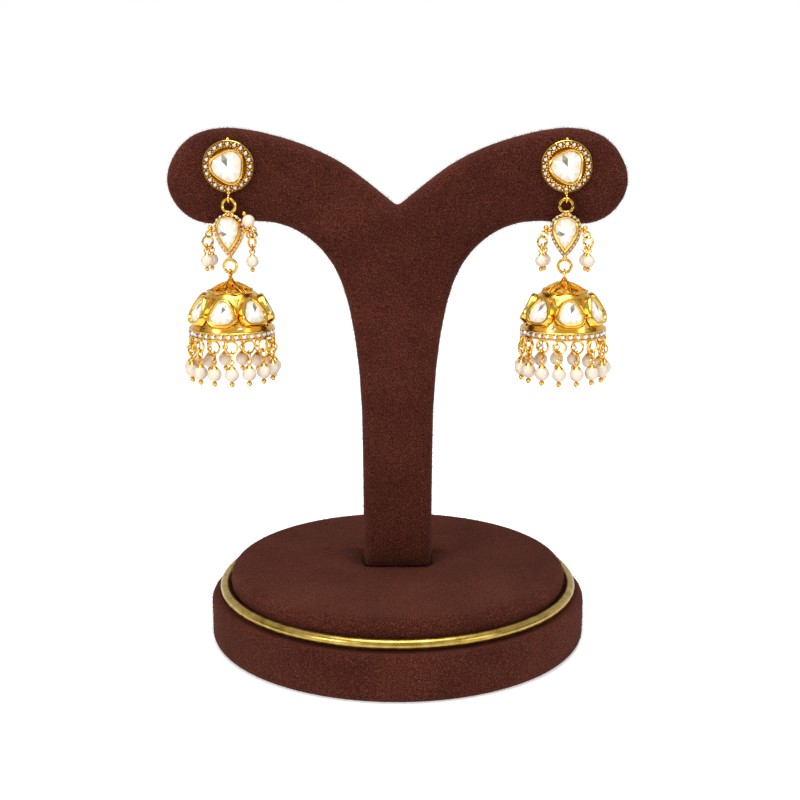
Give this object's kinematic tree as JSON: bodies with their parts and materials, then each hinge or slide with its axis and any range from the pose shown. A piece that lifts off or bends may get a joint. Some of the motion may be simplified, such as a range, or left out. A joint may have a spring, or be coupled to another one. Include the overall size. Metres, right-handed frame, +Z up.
{
  "type": "pair of jhumka earrings on display stand",
  "caption": "Pair of gold jhumka earrings with pear links, stone-set bells and hanging pearls, on a plain velvet covered stand with two curved arms.",
  "frame": {"origin": "middle of the flat underside of the stand's base", "axes": "+Z up, -Y towards the viewer of the earrings, X along the two arms"},
  "size_m": [0.1114, 0.0948, 0.1275],
  "materials": {
    "velvet": "dark brown velvet, short nap",
    "brass_ring": "satin",
    "gold": "polished gold plate",
    "stone": "rose cut, foil backed",
    "pearl": "cream pearl lustre, gold head and end ball"
  },
  "bodies": {
    "stand": {"stand_base_lower": "velvet", "stand_base_ring": "brass_ring", "stand_base_upper": "velvet", "stand_arms": "velvet", "left_stud_frame": "gold", "left_stud_stone": "stone", "left_ear_post": "gold", "right_stud_frame": "gold", "right_stud_stone": "stone", "right_ear_post": "gold"},
    "left_link": {"left_link_frame": "gold", "left_link_stone": "stone"},
    "left_bell": {"left_bell_dome": "gold", "left_bell_stone_1": "stone", "left_bell_stone_2": "stone", "left_bell_stone_3": "stone", "left_bell_stone_4": "stone", "left_bell_stone_5": "stone", "left_bell_stone_6": "stone", "left_bell_stone_7": "stone", "left_pearl_drop_1": "pearl", "left_pearl_drop_2": "pearl", "left_pearl_drop_3": "pearl", "left_pearl_drop_4": "pearl", "left_pearl_drop_5": "pearl", "left_pearl_drop_6": "pearl", "left_pearl_drop_7": "pearl", "left_pearl_drop_8": "pearl", "left_pearl_drop_9": "pearl", "left_pearl_drop_10": "pearl", "left_pearl_drop_11": "pearl", "left_pearl_drop_12": "pearl", "left_pearl_drop_13": "pearl", "left_pearl_drop_14": "pearl", "left_pearl_drop_15": "pearl"},
    "right_link": {"right_link_frame": "gold", "right_link_stone": "stone"},
    "right_bell": {"right_bell_dome": "gold", "right_bell_stone_1": "stone", "right_bell_stone_2": "stone", "right_bell_stone_3": "stone", "right_bell_stone_4": "stone", "right_bell_stone_5": "stone", "right_bell_stone_6": "stone", "right_bell_stone_7": "stone", "right_pearl_drop_1": "pearl", "right_pearl_drop_2": "pearl", "right_pearl_drop_3": "pearl", "right_pearl_drop_4": "pearl", "right_pearl_drop_5": "pearl", "right_pearl_drop_6": "pearl", "right_pearl_drop_7": "pearl", "right_pearl_drop_8": "pearl", "right_pearl_drop_9": "pearl", "right_pearl_drop_10": "pearl", "right_pearl_drop_11": "pearl", "right_pearl_drop_12": "pearl", "right_pearl_drop_13": "pearl", "right_pearl_drop_14": "pearl", "right_pearl_drop_15": "pearl"}
  },
  "joints": [
    {"name": "left_link_swing", "type": "hinge", "parent": "stand", "child": "left_link", "pos_m": [-0.0401, -0.0076, 0.11028], "axis": [0, 1, 0], "range_deg": [-20, 20]},
    {"name": "left_bell_swing", "type": "hinge", "parent": "left_link", "child": "left_bell", "pos_m": [-0.0401, -0.0076, 0.09344], "axis": [0.989, -0.1478, 0], "range_deg": [-20, 20]},
    {"name": "right_link_swing", "type": "hinge", "parent": "stand", "child": "right_link", "pos_m": [0.0401, -0.0076, 0.11028], "axis": [0, 1, 0], "range_deg": [-20, 20]},
    {"name": "right_bell_swing", "type": "hinge", "parent": "right_link", "child": "right_bell", "pos_m": [0.0401, -0.0076, 0.09344], "axis": [0.9936, -0.1132, 0], "range_deg": [-20, 20]}
  ]
}
